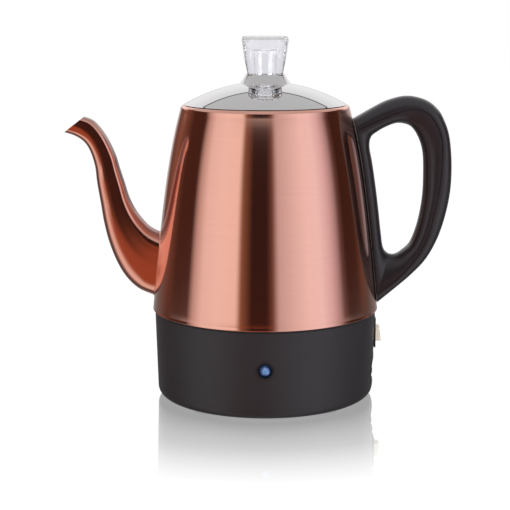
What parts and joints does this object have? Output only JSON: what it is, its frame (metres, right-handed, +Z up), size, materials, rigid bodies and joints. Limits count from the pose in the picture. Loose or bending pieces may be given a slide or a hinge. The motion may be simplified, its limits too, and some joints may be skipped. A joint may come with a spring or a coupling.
{
  "type": "electric coffee percolator",
  "caption": "Tapered copper-tinted steel jug with a gooseneck spout, loop handle and clear lid knob on a black heating base, with pump stem and basket inside.",
  "frame": {"origin": "on the jug's axis, at the face that the base stands on", "axes": "+Z up along the jug's axis, the spout points along -X, the handle, switch and inlet along +X, the signal lamp faces -Y"},
  "size_m": [0.2231, 0.1309, 0.2086],
  "materials": {
    "copper_steel": "satin copper tint, brushed",
    "copper_spout": "satin copper tint, smooth",
    "mirror_steel": "mirror polished",
    "plain_steel": "satin",
    "zinc_steel": "zinc plated",
    "handle_plastic": "satin black, fine grain",
    "base_plastic": "matte charcoal, fine grain",
    "fitting_plastic": "satin black",
    "black_rubber": "matte",
    "clear_plastic": "clear, moulded",
    "blue_lens": "translucent blue, faceted",
    "cream_plastic": "translucent cream",
    "clear_led": "clear, water white",
    "cast_aluminium": "as cast",
    "element_sheath": "dull, heat tinted",
    "plated_brass": "plated",
    "valve_brass": "plain",
    "ceramic": "unglazed ceramic",
    "fuse_case": "lacquered",
    "lead_sleeve": "silicone sleeve"
  },
  "bodies": {
    "pot": {"vessel": "copper_steel", "vessel_floor": "plain_steel", "spout": "copper_spout", "handle_frame": "handle_plastic", "handle_cover": "handle_plastic", "handle_studs": "zinc_steel", "handle_screws": "zinc_steel", "base_housing": "base_plastic", "base_gasket": "black_rubber", "bottom_cover": "base_plastic", "feet": "black_rubber", "standoffs": "zinc_steel", "base_screws": "zinc_steel", "heater_plate": "cast_aluminium", "heating_element": "element_sheath", "element_terminals": "plated_brass", "thermostat": "ceramic", "thermostat_terminals": "plated_brass", "thermostat_bracket": "zinc_steel", "bracket_screws": "zinc_steel", "keep_warm_heater": "ceramic", "keep_warm_strap": "zinc_steel", "thermal_fuse": "fuse_case", "lamp_holder": "fitting_plastic", "lamp_lens": "blue_lens", "lamp_led": "clear_led", "switch_housing": "fitting_plastic", "switch_terminals": "plated_brass", "inlet_socket": "fitting_plastic", "inlet_pins": "plated_brass", "inlet_screws": "zinc_steel", "wiring": "lead_sleeve"},
    "rocker": {"switch_rocker": "cream_plastic"},
    "stem": {"pump_tube": "plain_steel", "pump_base": "plain_steel"},
    "valve": {"pump_valve": "valve_brass"},
    "basket": {"basket": "plain_steel"},
    "spreader": {"basket_cover": "plain_steel"},
    "lid": {"lid": "mirror_steel", "lid_skirt": "plain_steel"},
    "knob": {"knob": "clear_plastic", "knob_ring": "plain_steel"}
  },
  "joints": [
    {"name": "switch_rock", "type": "hinge", "parent": "pot", "child": "rocker", "pos_m": [0.06121, 0, 0.0357], "axis": [0, 1, 0], "range_deg": [0, 12]},
    {"name": "stem_lift", "type": "slide", "parent": "pot", "child": "stem", "axis": [0, 0, 1], "range_m": [0, 0.14]},
    {"name": "valve_lift", "type": "slide", "parent": "stem", "child": "valve", "axis": [0, 0, 1], "range_m": [0, 0.0015]},
    {"name": "basket_lift", "type": "slide", "parent": "stem", "child": "basket", "axis": [0, 0, 1], "range_m": [0, 0.075]},
    {"name": "basket_cover_lift", "type": "slide", "parent": "basket", "child": "spreader", "axis": [0, 0, 1], "range_m": [0, 0.04]},
    {"name": "lid_lift", "type": "slide", "parent": "spreader", "child": "lid", "axis": [0, 0, 1], "range_m": [0, 0.05]},
    {"name": "knob_turn", "type": "hinge", "parent": "lid", "child": "knob", "pos_m": [0, 0, 0.19], "axis": [0, 0, 1], "continuous": true}
  ]
}
